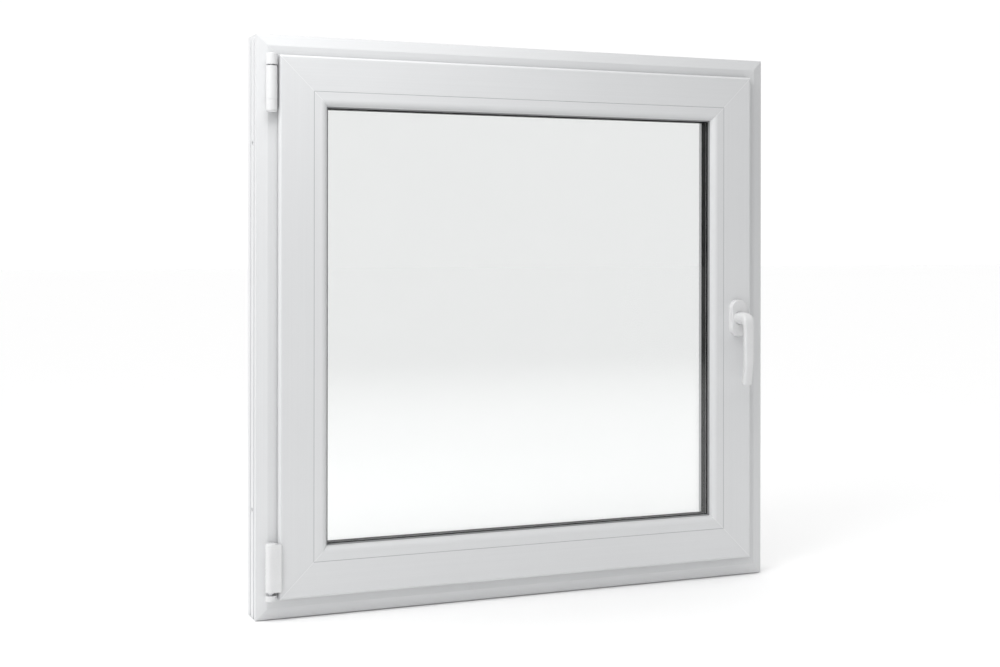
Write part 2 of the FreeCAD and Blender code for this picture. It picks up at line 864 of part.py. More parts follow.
def faceplate(side, t0, t1, cutters):
    half = plate_width / 2
    plate = block(side, plate_u, plate_u + plate_thickness, hardware_y - half, hardware_y + half, t0, t1)
    return plate.cut(together(cutters + plate_screws_on(side)))


def lock_faceplate():
    low, high = ends("lock")
    half = gear_thickness / 2 + slide_gap
    r = pitch_radius + gear_module + slide_gap
    z = handle_height
    window = block("lock", plate_u - 1, rod_u, hardware_y - half, hardware_y + half, z - r, z + r)
    return faceplate("lock", low + drive_leg, high - drive_leg, cam_slots("lock") + [window])


def stay_rail():
    move = arm_length * (1 - math.cos(math.radians(16))) + 3
    r = stud_radius + stud_play
    slot = round_slot("head", plate_u - 1, groove_bottom, hardware_y, stud_x - move, stud_x + 1, r)
    return faceplate("head", ends("head")[0] + rebate + 6, stud_x + 30, [slot])


def corner_drive(upper):
    side = "head" if upper else "sill"
    low, high = ends("lock")
    z0, z1 = (high - drive_leg, high - plate_u) if upper else (low + plate_u, low + drive_leg)
    u0 = plate_u
    u1 = plate_u + plate_thickness
    half = plate_width / 2
    upright = block("lock", u0, u1, hardware_y - half, hardware_y + half, z0, z1)
    x1 = frame_width / 2
    level = block(side, u0, u1, hardware_y - half, hardware_y + half, x1 - drive_leg, x1 - plate_u)
    half = rod_width / 2 + 0.5
    v0, v1 = (high - groove_bottom - 23, high - u0) if upper else (low + u0, low + groove_bottom + 23)
    guide = block("lock", u1, groove_bottom - 0.2, hardware_y - half, hardware_y + half, v0, v1)
    guide_x = x1 - groove_bottom - 23
    back = groove_bottom - 0.2
    level_guide = block(side, u1, back, hardware_y - half, hardware_y + half, guide_x, x1 - u0)
    screws = together(plate_screws_on("lock") + plate_screws_on(side))
    return fused([upright, level, guide, level_guide]).cut(screws)


def gearbox_pocket():
    half = plate_groove / 2
    y0 = hardware_y - half
    y1 = hardware_y + half
    z = handle_height
    pocket = block("lock", rebate - 1, pocket_back, y0, y1, z - pocket_half, z + pocket_half)
    hole = depth_bar(spindle_side * math.sqrt(0.5) + 1, handle_x, z, sash_y - 1, y0 + 1)
    return [pocket, hole] + handle_screws()


def gearbox_case():
    inner = rod_width / 2 + slide_gap
    outer = plate_width / 2
    z0 = handle_height - pocket_half + 1
    z1 = handle_height + pocket_half - 1
    u0 = plate_u + plate_thickness
    u1 = pocket_back - 0.3
    front = block("lock", u0, u1, hardware_y - outer, hardware_y - inner, z0, z1)
    back = block("lock", u0, u1, hardware_y + inner, hardware_y + outer, z0, z1)
    floor = block("lock", u1 - 1.6, u1, hardware_y - outer, hardware_y + outer, z0, z1)
    bore = depth_bar(hub_radius() + 0.08, handle_x, handle_height, hardware_y - 20, hardware_y + 20)
    return fused([front, back, floor]).cut(bore).cut(together(handle_screws()))


def striker_screw_places(side):
    places = []
    for t in cams[side]:
        center = t + slide_sense[side] * 6
        places += [center - 13, center + 13]
    return places


def striker_screws(side):
    return [
        rebate_screw(side, frame_body + striker_base, frame_body - 14, hardware_y + 1, t)
        for t in striker_screw_places(side)
    ]


# A low plate with a lip on the room side; the lip stays under the cam's tip.
def strikers(side):
    shapes = []
    for t in cams[side]:
        center = t + slide_sense[side] * 6
        y0 = hardware_y - 9
        y1 = hardware_y + 9
        t0 = center - 19
        t1 = center + 19
        base = block(side, frame_body, frame_body + striker_base, y0, y1, t0, t1)
        lip = block(side, frame_body, cam_tip - 0.5, y0, y0 + 3, t0, t1)
        shapes.append(fused([base, lip]).cut(together(striker_screws(side))))
    return shapes


def fixing_holes(side):
    low, high = ends(side)
    places = (low + fixing_inset, high - fixing_inset)
    return [stub(side, -1, frame_body + 1, 0, t, fixing_radius) for t in places]


# A low ridge on the frame's leg that the sash closes against.
def frame_seal_outline():
    near = frame_body + 8
    far = near + 12
    foot_y = leg_y - 1.4
    tip = ((near + far) / 2, sash_back_y + frame_gasket_clear)
    return [(near, leg_y), (near, foot_y), tip, (far, foot_y), (far, leg_y)]


def drain_caps():
    caps = []
    for x in (-0.3 * frame_width, 0.3 * frame_width):
        cap = Part.makeBox(44, 3, 11, Vector(x - 22, outer_y, 15))
        cap = cap.makeFillet(1.2, [e for e in cap.Edges if e.BoundBox.YMin > outer_y + 2.9])
        mouth = Part.makeBox(36, 4, 4, Vector(x - 18, outer_y - 2, 14.5))
        caps.append(cap.cut(mouth))
    return caps


def drain_slots():
    return [
        Part.makeBox(30, wall + 2, 5, Vector(x - 15, outer_y - wall - 1, 19))
        for x in (-0.3 * frame_width, 0.3 * frame_width)
    ]


def packers():
    u0, u1 = bead_edge, bead_edge + pane_edge_gap
    y0, y1 = pane_in_y + 0.5, pane_out_y - 0.5
    shapes = []
    for side in sides:
        low, high = ends(side)
        for t in (low + bead_edge + 110, high - bead_edge - 110):
            shapes.append(block(side, u0, u1, y0, y1, t - packer_length / 2, t + packer_length / 2))
    return shapes


# A flat sheet whose edge is u in from the frame's outer edge on all four sides.
def sheet(u, y0, y1):
    width = frame_width - 2 * u
    return Part.makeBox(width, y1 - y0, frame_height - 2 * u, Vector(-width / 2, y0, u))


def build_frame():
    names = {"hinge": "hinge_jamb", "lock": "lock_jamb", "sill": "sill", "head": "head"}
    bearing_screws = corner_bearing_screws() + stay_bearing_screws()
    cutters = {
        "hinge": fixing_holes("hinge") + bearing_screws,
        "lock": fixing_holes("lock") + striker_screws("lock"),
        "sill": striker_screws("sill") + drain_slots(),
        "head": striker_screws("head"),
    }
    for side in sides:
        tool = together(cutters[side])
        save("frame_" + names[side], mitred(side, frame_outline(), frame_chambers()).cut(tool))
        save("frame_" + names[side] + "_steel", frame_steel(side).cut(tool))
    save("frame_gasket", ring(frame_seal_outline()))
    save("drain_caps", *drain_caps())
    save("strikers", *[shape for side in slide_sense for shape in strikers(side)])
    save("striker_screws", *[shape for side in slide_sense for shape in striker_screws(side)])


def build_hinges():
    save("corner_bearing", corner_bearing())
    save("bearing_screws", *corner_bearing_screws(), *stay_bearing_screws())
    save("pivot_pin", pivot_pin())
    save("corner_band", corner_band())
    save("band_screws", *band_screws())
    save("lower_hinge_cover", lower_hinge_cover())
    save("stay_bearing", stay_bearing())
    save("stay_pin_cap", stay_pin_cap())
    save("stay_pin", stay_pin())
    save("stay_arm", stay_arm())


def build_sash():
    names = {"hinge": "hinge_stile", "lock": "lock_stile", "sill": "bottom_rail", "head": "top_rail"}
    for side in sides:
        tools = plate_screws_on(side) if side in slide_sense else band_screws()
        if side == "lock":
            tools = tools + gearbox_pocket()
        tool = together(tools)
        save("sash_" + names[side], mitred(side, sash_outline(), sash_chambers()).cut(tool))
        save("sash_" + names[side] + "_steel", sash_steel(side).cut(tool))
    seal = rectangle(sash_edge + 2, sash_edge + 6, overlap_y, inner_y - sash_gasket_clear)
    save("sash_gasket", ring(seal).cut(together(gasket_notches())))


def build_glazing():
    for side in sides:
        save("glazing_bead_" + side, mitred(side, bead_outline()))
    save("bead_gasket", ring(bead_seal_outline()))
    save("glazing_gasket", ring(rectangle(sightline - 5, sightline + 1, pane_out_y, upstand_y)))
    edge = bead_edge + pane_edge_gap
    cavity_in = pane_in_y + pane_thickness
    cavity_out = pane_out_y - pane_thickness
    save("inner_pane", sheet(edge, pane_in_y, cavity_in))
    save("outer_pane", sheet(edge, cavity_out, pane_out_y))
    face_u = sightline + spacer_above_sightline
    bar_u = face_u - spacer_height
    room = sheet(face_u, cavity_in - 1, cavity_out + 1)
    bar = sheet(bar_u, cavity_in, cavity_out)
    save("spacer_bar", bar.cut(room))
    save("edge_seal", sheet(edge, cavity_in, cavity_out).cut(bar))
    save("glazing_packers", *packers())


def build_hardware():
    save("lock_faceplate", lock_faceplate())
    save("stay_rail", stay_rail())
    low, high = ends("head")
    save("top_faceplate", faceplate("head", stud_x + 30.2, high - drive_leg, cam_slots("head")))
    save("bottom_faceplate", faceplate("sill", low + rebate + 66, high - drive_leg, cam_slots("sill")))
    save("upper_corner_drive", corner_drive(True))
    save("lower_corner_drive", corner_drive(False))
    save("faceplate_screws", *[shape for side in slide_sense for shape in plate_screws_on(side)])
    save("gearbox_case", gearbox_case())
    save("lock_rod", lock_rod())
    save("top_rod", connecting_rod("head"))
    save("bottom_rod", connecting_rod("sill"))


def build_handle():
    save("rosette_base", rosette_base())
    save("rosette_cover", rosette_cover())
    save("rosette_screws", *handle_screws())
    save("handle_lever", handle_lever())
    save("spindle", spindle())
    save("pinion", pinion())


os.makedirs("parts", exist_ok=True)
build_frame()
build_hinges()
build_sash()
build_glazing()
build_hardware()
build_handle()
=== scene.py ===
import json
import math

import bmesh
import bpy
from mathutils import Matrix, Vector


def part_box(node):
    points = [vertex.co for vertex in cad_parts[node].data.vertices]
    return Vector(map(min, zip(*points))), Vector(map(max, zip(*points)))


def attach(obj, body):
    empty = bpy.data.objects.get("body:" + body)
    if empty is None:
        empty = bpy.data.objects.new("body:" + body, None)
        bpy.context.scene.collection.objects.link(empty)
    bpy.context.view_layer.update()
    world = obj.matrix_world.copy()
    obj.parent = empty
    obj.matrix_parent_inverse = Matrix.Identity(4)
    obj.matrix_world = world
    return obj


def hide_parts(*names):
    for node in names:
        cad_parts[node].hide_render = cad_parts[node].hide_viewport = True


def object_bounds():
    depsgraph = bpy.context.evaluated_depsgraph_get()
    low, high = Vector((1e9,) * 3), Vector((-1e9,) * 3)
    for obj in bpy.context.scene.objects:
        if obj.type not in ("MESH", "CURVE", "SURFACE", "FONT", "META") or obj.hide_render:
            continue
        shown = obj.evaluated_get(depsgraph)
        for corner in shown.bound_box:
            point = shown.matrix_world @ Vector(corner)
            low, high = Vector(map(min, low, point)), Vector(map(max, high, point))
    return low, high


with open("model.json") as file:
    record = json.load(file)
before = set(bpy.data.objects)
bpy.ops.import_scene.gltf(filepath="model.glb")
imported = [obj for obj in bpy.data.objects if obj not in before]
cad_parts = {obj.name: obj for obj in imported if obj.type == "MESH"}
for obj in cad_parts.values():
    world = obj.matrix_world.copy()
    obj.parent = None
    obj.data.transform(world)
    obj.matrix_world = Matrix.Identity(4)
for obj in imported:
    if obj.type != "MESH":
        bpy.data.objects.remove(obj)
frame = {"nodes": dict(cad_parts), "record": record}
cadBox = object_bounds()
nodes = frame["nodes"]
print("frame loaded:", len(nodes), "nodes")


# A socket that can stand in a sum: each operator adds its Math node.
class Wire:
    def __init__(self, tree, socket):
        self.tree = tree
        self.socket = socket

    def math(self, operation, *others):
        inputs = {0: self, **dict(enumerate(others, 1))}
        return self.tree.add("ShaderNodeMath", {"operation": operation}, inputs)

    def __add__(self, other):
        return self.math("ADD", other)

    def __radd__(self, other):
        return self.math("ADD", other)

    def __sub__(self, other):
        return self.math("SUBTRACT", other)

    def __rsub__(self, other):
        return self.tree.add("ShaderNodeMath", {"operation": "SUBTRACT"}, {0: other, 1: self})

    def __mul__(self, other):
        return self.math("MULTIPLY", other)

    def __rmul__(self, other):
        return self.math("MULTIPLY", other)


# A node tree that makes any node from its type, its settings and what goes into its sockets.
class Tree:
    def __init__(self, nodeTree):
        self.nodeTree = nodeTree

    def node(self, kind, settings=None, sockets=None):
        made = self.nodeTree.nodes.new(kind)
        for name, value in (settings or {}).items():
            if name == "stops":
                ramp = made.color_ramp
                for place, color in value[len(ramp.elements):]:
                    ramp.elements.new(place)
                for element, (place, color) in zip(ramp.elements, value):
                    element.position = place
                    element.color = color
            else:
                setattr(made, name, value)
        for name, value in (sockets or {}).items():
            if isinstance(value, Wire):
                self.nodeTree.links.new(value.socket, made.inputs[name])
            else:
                made.inputs[name].default_value = value
        return made

    def add(self, kind, settings=None, sockets=None, output=0):
        return Wire(self, self.node(kind, settings, sockets).outputs[output])

    def place(self):
        return self.add("ShaderNodeTexCoord", output="Object")

    def axis(self, name):
        return self.add("ShaderNodeSeparateXYZ", {}, {0: self.place()}, output=name)

    def noise(self, scale, detail=2.0, roughness=0.5, stretch=(1, 1, 1)):
        turned = self.add("ShaderNodeMapping", {}, {"Vector": self.place(), "Scale": stretch})
        values = {"Vector": turned, "Scale": scale, "Detail": detail, "Roughness": roughness}
        return self.add("ShaderNodeTexNoise", {}, values)

    # 1 where the value is under the edge, fading to 0 over the given width
    def under(self, value, edge, width):
        sockets = {"Value": value, "From Min": edge, "From Max": edge + width, "To Min": 1.0, "To Max": 0.0}
        return self.add("ShaderNodeMapRange", {"interpolation_type": "SMOOTHSTEP"}, sockets)

    def blend(self, factor, first, second):
        made = self.node("ShaderNodeMix", {"data_type": "RGBA"}, {"Factor": factor})
        for slot, value in ((6, first), (7, second)):
            if isinstance(value, Wire):
                self.nodeTree.links.new(value.socket, made.inputs[slot])
            else:
                made.inputs[slot].default_value = (*value, 1.0)
        return Wire(self, made.outputs[2])

    def bump(self, height, distance):
        return self.add("ShaderNodeBump", {}, {"Height": height, "Distance": distance, "Strength": 1.0})


# A new material: its tree and its shader, with constants set straight on the shader.
def finish(name, **constants):
    material = bpy.data.materials.new(name)
    material.use_nodes = True
    tree = Tree(material.node_tree)
    shader = material.node_tree.nodes["Principled BSDF"]
    for socket, value in constants.items():
        shader.inputs[socket.replace("_", " ")].default_value = value
    return material, tree, shader


def feed(tree, shader, **wires):
    for socket, wire in wires.items():
        tree.nodeTree.links.new(wire.socket, shader.inputs[socket.replace("_", " ")])


pvc = {
    "color": (0.71, 0.717, 0.725),
    "shaded": (0.66, 0.667, 0.675),
    "weldColor": (0.9, 0.905, 0.91),
    "weldWidth": 0.0003,
    "weldFade": 0.0006,
    "weldDeep": 14,
    "heatedWidth": 0.001,
    "heatedFade": 0.012,
    "jointShadowColor": (0.3, 0.31, 0.33),
    "jointWidth": 0.00016,
    "jointFade": 0.0003,
    "jointDeep": 12,
    "roughness": 0.33,
    "grain": 0.00002,
    "streakScale": 520,
    "streakLength": 0.004,
    "cloudScale": 5,
    "fineScale": 1600,
    "halfWidth": (cadBox[1].x - cadBox[0].x) / 2,
    "middle": (cadBox[1].z + cadBox[0].z) / 2,
    "beadSide": -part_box("glazing_bead_hinge")[0].x,
    "faceBack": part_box("glazing_bead_hinge")[0].y + 0.004,
}


# Extruded white plastic: faint draw lines along the bar, a scraped weld groove on each mitre,
# and a painted shadow line for the gap where the glazing beads meet the sash.
def makePvc(name, upright, weldShows):
    material, tree, shader = finish(name, IOR=1.5, Coat_Roughness=0.2)
    along = (1, 1, pvc["streakLength"]) if upright else (pvc["streakLength"], 1, 1)
    streaks = tree.noise(pvc["streakScale"], 3, 0.65, along)
    cloud = tree.noise(pvc["cloudScale"], 3)
    fine = tree.noise(pvc["fineScale"], 2)
    fromSide = pvc["halfWidth"] - tree.axis("X").math("ABSOLUTE")
    fromEnd = pvc["halfWidth"] - (tree.axis("Z") - pvc["middle"]).math("ABSOLUTE")
    offMitre = (fromSide - fromEnd).math("ABSOLUTE")
    weld = tree.under(offMitre, pvc["weldWidth"], pvc["weldFade"])
    nearWeld = tree.under(offMitre, pvc["heatedWidth"], pvc["heatedFade"])
    tint = (cloud - 0.5) * 0.7 + 0.5 + (streaks - 0.5) * 0.9 - nearWeld * 0.1
    color = tree.blend(tint, pvc["shaded"], pvc["color"])
    color = tree.blend(weld * weldShows, color, pvc["weldColor"])
    # Painted shadow: a thin dark line of shade in the gap between glazing bead and sash face.
    fromEdge = fromSide.math("MINIMUM", fromEnd) - (pvc["halfWidth"] - pvc["beadSide"])
    jointShadow = tree.under(fromEdge.math("ABSOLUTE"), pvc["jointWidth"], pvc["jointFade"])
    jointShadow = jointShadow * tree.under(tree.axis("Y"), pvc["faceBack"], 0.001)
    color = tree.blend(jointShadow, color, pvc["jointShadowColor"])
    roughness = pvc["roughness"] + (streaks - 0.5) * 0.08 + weld * 0.15
    height = fine * 0.25 + streaks * 0.5 - weld * (pvc["weldDeep"] * weldShows) - jointShadow * pvc["jointDeep"]
    feed(tree, shader, Base_Color=color, Roughness=roughness, Normal=tree.bump(height, pvc["grain"]))
    return material


moulded = {
    "color": (0.735, 0.738, 0.742),
    "shaded": (0.68, 0.684, 0.69),
    "roughness": 0.27,
    "grain": 0.000018,
    "cloudScale": 38,
    "bloomScale": 2400,
}


# Moulded satin plastic: soft clouding and the fine bloom of a polished mould.
def makeMoulded(name, color=None, shaded=None, roughness=None):
    material, tree, shader = finish(name, IOR=1.49)
    cloud = tree.noise(moulded["cloudScale"], 3)
    bloom = tree.noise(moulded["bloomScale"], 3, 0.6)
    wanted = moulded["roughness"] if roughness is None else roughness
    tint = tree.blend(cloud, shaded or moulded["shaded"], color or moulded["color"])
    feed(tree, shader, Base_Color=tint, Roughness=wanted + (bloom - 0.5) * 0.12)
    feed(tree, shader, Normal=tree.bump(bloom * 0.6 + cloud, moulded["grain"]))
    return material


powder = {
    "color": (0.73, 0.735, 0.74),
    "shaded": (0.66, 0.665, 0.672),
    "roughness": 0.38,
    "peel": 0.00006,
    "peelScale": 950,
    "cloudScale": 60,
}


# White powder coat on die-cast metal: orange peel, with painted shade in its hollows.
def makePowder(name):
    material, tree, shader = finish(name, IOR=1.52, Coat_Weight=0.15, Coat_Roughness=0.25)
    peel = tree.noise(powder["peelScale"], 1, 0.4)
    cloud = tree.noise(powder["cloudScale"], 2)
    # Painted shade: the low parts of the peel take the shaded tone, with a cloudy tone on top.
    feed(tree, shader, Base_Color=tree.blend(cloud * 0.6 + peel * 0.4, powder["shaded"], powder["color"]))
    feed(tree, shader, Roughness=powder["roughness"] + (peel - 0.5) * 0.15)
    feed(tree, shader, Normal=tree.bump(peel, powder["peel"]))
    return material


zinc = {
    "color": (0.66, 0.665, 0.68),
    "dull": (0.5, 0.505, 0.52),
    "roughness": 0.32,
    "grain": 0.00003,
    "lineScale": 1300,
    "lineLength": 0.02,
    "cloudScale": 45,
}


# Zinc-plated steel, rolled and tumbled: fine lines both ways and cloudy plating.
def makeZinc(name):
    material, tree, shader = finish(name, Metallic=1.0)
    lines = tree.noise(zinc["lineScale"], 2, 0.5, (zinc["lineLength"], 1, 1))
    cross = tree.noise(zinc["lineScale"], 2, 0.5, (1, 1, zinc["lineLength"]))
    cloud = tree.noise(zinc["cloudScale"], 4, 0.6)
    feed(tree, shader, Base_Color=tree.blend(cloud, zinc["dull"], zinc["color"]))
    feed(tree, shader, Roughness=zinc["roughness"] + (cloud - 0.5) * 0.22 + (lines + cross - 1) * 0.1)
    feed(tree, shader, Normal=tree.bump(lines + cross, zinc["grain"]))
    return material


galvanised = {
    "color": (0.66, 0.67, 0.69),
    "dull": (0.42, 0.43, 0.45),
    "roughness": 0.3,
    "grain": 0.00004,
    "spangleScale": 130,
}


# Hot-dip galvanised stiffening steel with its spangle.
def makeGalvanised(name):
    material, tree, shader = finish(name, Metallic=1.0)
    sockets = {"Vector": tree.place(), "Scale": galvanised["spangleScale"]}
    shade = tree.add("ShaderNodeTexVoronoi", {}, sockets, output="Color")
    feed(tree, shader, Base_Color=tree.blend(shade, galvanised["dull"], galvanised["color"]))
    feed(tree, shader, Roughness=galvanised["roughness"] + shade * 0.25)
    feed(tree, shader, Normal=tree.bump(shade, galvanised["grain"]))
    return material


rubber = {"grain": 0.00004, "dustScale": 70, "grainScale": 2600}


# Extruded rubber: matt and grained, with a little dust on it.
def makeRubber(name, color, dusty, roughness):
    material, tree, shader = finish(name, IOR=1.5, Specular_IOR_Level=0.3)
    dust = tree.noise(rubber["dustScale"], 5, 0.65)
    grain = tree.noise(rubber["grainScale"], 2)
    feed(tree, shader, Base_Color=tree.blend(dust, color, dusty))
    feed(tree, shader, Roughness=roughness + (dust - 0.5) * 0.2)
    feed(tree, shader, Normal=tree.bump(grain + dust, rubber["grain"]))
    return material


glass = {
    "color": (0.968, 0.974, 0.972),
    "film": 0.012,
    "filmEdge": 0.34,
    "filmFade": 0.18,
    "filmScale": 9,
    "smearScale": 26,
}


# Clear float glass with a faint film that only its sheen shows.
def makeGlass(name):
    material, tree, shader = finish(name, IOR=1.5, Transmission_Weight=1.0)
    film = tree.noise(glass["filmScale"], 4, 0.6)
    smear = tree.noise(glass["smearScale"], 2, 0.5, (1, 1, 0.3))
    patch = tree.under(film * 0.6 + smear * 0.4, glass["filmEdge"], glass["filmFade"])
    feed(tree, shader, Base_Color=tree.blend(film, glass["color"], [c * 0.992 for c in glass["color"]]))
    feed(tree, shader, Roughness=patch * glass["film"])
    return material


blackRubber = makeRubber("rubberBlack", (0.008, 0.008, 0.009), (0.022, 0.022, 0.023), 0.62)
greyRubber = makeRubber("rubberGrey", (0.2, 0.205, 0.21), (0.3, 0.305, 0.31), 0.55)
satinWhite = makeMoulded("satinWhite")
zincSteel = makeZinc("zincSteel")
finishes = {
    "galvanised_steel": makeGalvanised("galvanisedSteel"),
    "black_rubber": blackRubber,
    "grey_rubber": greyRubber,
    "cover_plastic": satinWhite,
    "bearing_metal": makePowder("powderWhite"),
    "silver_steel": zincSteel,
    "clear_glass": makeGlass("floatGlass"),
    "spacer_black": makeRubber("spacerBlack", (0.004, 0.004, 0.0045), (0.007, 0.007, 0.0075), 0.6),
    "packer_plastic": makeMoulded("packerBlue", (0.07, 0.16, 0.42), (0.05, 0.12, 0.34), 0.4),
}
pvcFinishes = {
    (upright, sash): makePvc("pvc" + side + way, upright, weldShows)
    for upright, way in ((True, "Upright"), (False, "Level"))
    for sash, side, weldShows in ((True, "Sash", 0.5), (False, "Frame", 0.12))
}
uprightNames = ("jamb", "stile", "bead_hinge", "bead_lock")


# The right finish on every CAD node; any slot without a finish of its own is window plastic.
def dress():
    for entry in frame["record"]["subparts"]:
        node = nodes[entry["node"]]
        upright = any(word in entry["node"] for word in uprightNames)
        plastic = pvcFinishes[(upright, not entry["node"].startswith("frame_"))]
        found = finishes.get(entry["material_slot"], plastic)
        for slot in node.material_slots:
            slot.material = found


dress()
print("finishes on every node")


# A plain object from a bmesh, riding on a body.
def piece(name, work, material, body, smooth=30):
    mesh = bpy.data.meshes.new(name)
    bmesh.ops.recalc_face_normals(work, faces=work.faces[:])
    work.to_mesh(mesh)
    work.free()
    made = bpy.data.objects.new(name, mesh)
    bpy.context.scene.collection.objects.link(made)
    mesh.materials.append(material)
    for face in mesh.polygons:
        face.use_smooth = True
    mesh.set_sharp_from_angle(angle=math.radians(smooth))
    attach(made, body)
    return made


def middle(node):
    low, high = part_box(node)
    return (low + high) / 2


# Faces between two closed rings with the same number of points.
def bridge(work, first, second):
    for k in range(len(first)):
        j = (k + 1) % len(first)
        work.faces.new((first[k], first[j], second[j], second[k]))


lever = {
    "shoulder": 0.0215,
    "width": 0.0155,
    "thickness": 0.010,
    "round": 4.4,
    "neck": 0.0108,
    "bend": 0.012,
    "setBack": 0.007,
    "straight": 0.55,
    "inRosette": 0.0012,
    "insideBox": 0.00002,
    "tipRound": 0.0009,
    "tipSteps": 3,
    "neckSteps": 5,
    "straightSteps": 4,
    "curveSteps": 14,
    "flattenFrom": 3,
    "flattenOver": 15,
    "sides": 56,
}


# A superellipse that runs from a circle at the neck to the lever's flat oval.
def ovalPoint(angle, halfWide, halfDeep, power):
    c = math.cos(angle)
    s = math.sin(angle)
    x = math.copysign(abs(c) ** (2 / power), c) * halfWide
    y = math.copysign(abs(s) ** (2 / power), s) * halfDeep
    return x, y


# Places along the lever's middle line, from the rosette to the tip, each with its outward direction.
def leverLine(axis, faceY, outY, tipZ):
    midY = outY + lever["thickness"] / 2
    r = lever["bend"]
    line = []
    for n in range(lever["neckSteps"] + 1):
        y = faceY + (midY + r - faceY) * n / lever["neckSteps"]
        line.append((Vector((axis.x, y, axis.z)), Vector((0, 0, 1))))
    for n in range(1, lever["curveSteps"] + 1):
        turn = math.pi / 2 * n / lever["curveSteps"]
        place = Vector((axis.x, midY + r - r * math.sin(turn), axis.z - r + r * math.cos(turn)))
        line.append((place, Vector((0, -math.sin(turn), math.cos(turn)))))
    length = axis.z - tipZ
    straightZ = axis.z - length * lever["straight"]
    drop = straightZ - tipZ
    sweep = (lever["setBack"] ** 2 + drop**2) / (2 * lever["setBack"])
    for n in range(1, lever["straightSteps"] + 1):
        z = axis.z - r + (straightZ - axis.z + r) * n / lever["straightSteps"]
        line.append((Vector((axis.x, midY, z)), Vector((0, -1, 0))))
    whole = math.asin(drop / sweep)
    for n in range(1, lever["curveSteps"] + 1):
        turn = whole * n / lever["curveSteps"]
        place = Vector((axis.x, midY + sweep * (1 - math.cos(turn)), straightZ - sweep * math.sin(turn)))
        line.append((place, Vector((0, -math.cos(turn), -math.sin(turn)))))
    return line


# Draws in the open end of a tube with a few rings, and closes it.
def closeEnd(work, ring, center, radius, steps):
    last = ring
    span = max((v.co - center).length for v in ring)
    for n in range(1, steps + 1):
        share = n / steps
        scale = 1 - radius / span * (1 - math.cos(share * math.pi / 2)) * 1.6
        drawn = [work.verts.new(center + (v.co - center) * scale) for v in ring]
        bridge(work, last, drawn)
        last = drawn
    work.faces.new(last)


# The cast lever: a round neck that flattens through its bend into a softly edged grip.
def makeLever():
    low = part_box("handle_lever")[0]
    axis = middle("rosette_cover")
    line = leverLine(axis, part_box("rosette_cover")[0].y + lever["inRosette"], low.y, low.z)
    work = bmesh.new()
    rings = []
    for n, (place, outward) in enumerate(line):
        share = min(1.0, max(0.0, (n - lever["flattenFrom"]) / lever["flattenOver"]))
        ease = share * share * (3 - 2 * share)
        width = lever["shoulder"] + (lever["width"] - lever["shoulder"]) * n / len(line)
        halfWide = lever["neck"] + (width / 2 - lever["neck"]) * ease
        halfDeep = lever["neck"] + (lever["thickness"] / 2 - lever["neck"]) * ease
        power = 2 + (lever["round"] - 2) * ease
        ring = []
        for k in range(lever["sides"]):
            x, d = ovalPoint(2 * math.pi * k / lever["sides"], halfWide, halfDeep, power)
            spot = place + Vector((x, 0, 0)) + outward * d
            spot.y = max(spot.y, low.y + lever["insideBox"])
            ring.append(work.verts.new(spot))
        rings.append(ring)
    for first, second in zip(rings, rings[1:]):
        bridge(work, first, second)
    tip = rings[-1]
    center = sum((v.co for v in tip), Vector()) / len(tip)
    closeEnd(work, tip, center, lever["tipRound"], lever["tipSteps"])
    closeEnd(work, rings[0], line[0][0], 0.0, 1)
    made = piece("leverGrip", work, satinWhite, "handle", 55)
    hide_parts("handle_lever")


makeLever()

rosette = {
    "taper": 0.0013,
    "edge": 0.0007,
    "draft": 0.0005,
    "foot": 0.0003,
    "neckGap": 0.00045,
    "neckSoft": 0.0006,
    "neckSoftDeep": 0.0004,
    "neckDeep": 0.004,
    "sides": 24,
    "edgeSteps": 8,
}


# Outline of the rosette: two half circles joined by straight sides, drawn in by the given amount.
def rosetteRing(work, center, halfWide, halfHigh, y, inset):
    r = halfWide - inset
    rise = halfHigh - halfWide
    ring = []
    for sign in (1, -1):
        for n in range(rosette["sides"] + 1):
            turn = math.pi * n / rosette["sides"]
            x = math.cos(turn) * r * sign
            z = (rise + math.sin(turn) * r) * sign
            ring.append(work.verts.new((center.x + x, y, center.z + z)))
    return ring


# The clip-on rosette cover, with its drafted side, soft front edge and a shadow line round the neck.
def makeRosette():
    low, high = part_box("rosette_cover")
    center = middle("rosette_cover")
    halfWide = (high.x - low.x) / 2
    halfHigh = (high.z - low.z) / 2
    work = bmesh.new()
    steps = [(high.y, rosette["foot"]), (high.y - rosette["foot"], 0.0)]
    steps.append((low.y + rosette["edge"] * 2.4, rosette["draft"]))
    for n in range(1, rosette["edgeSteps"] + 1):
        turn = math.pi / 2 * n / rosette["edgeSteps"]
        y = low.y + rosette["edge"] * 2 * (1 - math.sin(turn))
        steps.append((y, rosette["draft"] + (1 - math.cos(turn)) * rosette["taper"]))
    rings = [rosetteRing(work, center, halfWide, halfHigh, y, inset) for y, inset in steps]
    for first, second in zip(rings, rings[1:]):
        bridge(work, first, second)
    radius = lever["neck"] + rosette["neckGap"]
    neck = ((0, rosette["neckSoft"]), (rosette["neckSoftDeep"], 0), (rosette["neckDeep"], 0))
    holes = []
    for below, wider in neck:
        y = low.y + below
        r = radius + wider
        ring = []
        for v in rings[-1]:
            way = (v.co - center) * Vector((1, 0, 1))
            ring.append(work.verts.new(Vector((center.x, y, center.z)) + way.normalized() * r))
        holes.append(ring)
    for first, second in zip([rings[-1], *holes], holes):
        bridge(work, first, second)
    bmesh.ops.remove_doubles(work, verts=work.verts[:], dist=1e-6)
    made = piece("rosetteShell", work, satinWhite, "sash", 28)
    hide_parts("rosette_cover")


makeRosette()
print("handle made")


# The points of each separate solid in a node.
def solidsOf(node):
    work = bmesh.new()
    work.from_mesh(nodes[node].data)
    bmesh.ops.remove_doubles(work, verts=work.verts[:], dist=2e-6)
    seen = set()
    found = []
    for start in work.verts:
        if start in seen:
            continue
        seen.add(start)
        waiting = [start]
        group = []
        while waiting:
            v = waiting.pop()
            group.append(v.co.copy())
            for edge in v.link_edges:
                other = edge.other_vert(v)
                if other not in seen:
                    seen.add(other)
                    waiting.append(other)
        found.append(group)
    work.free()
    return found


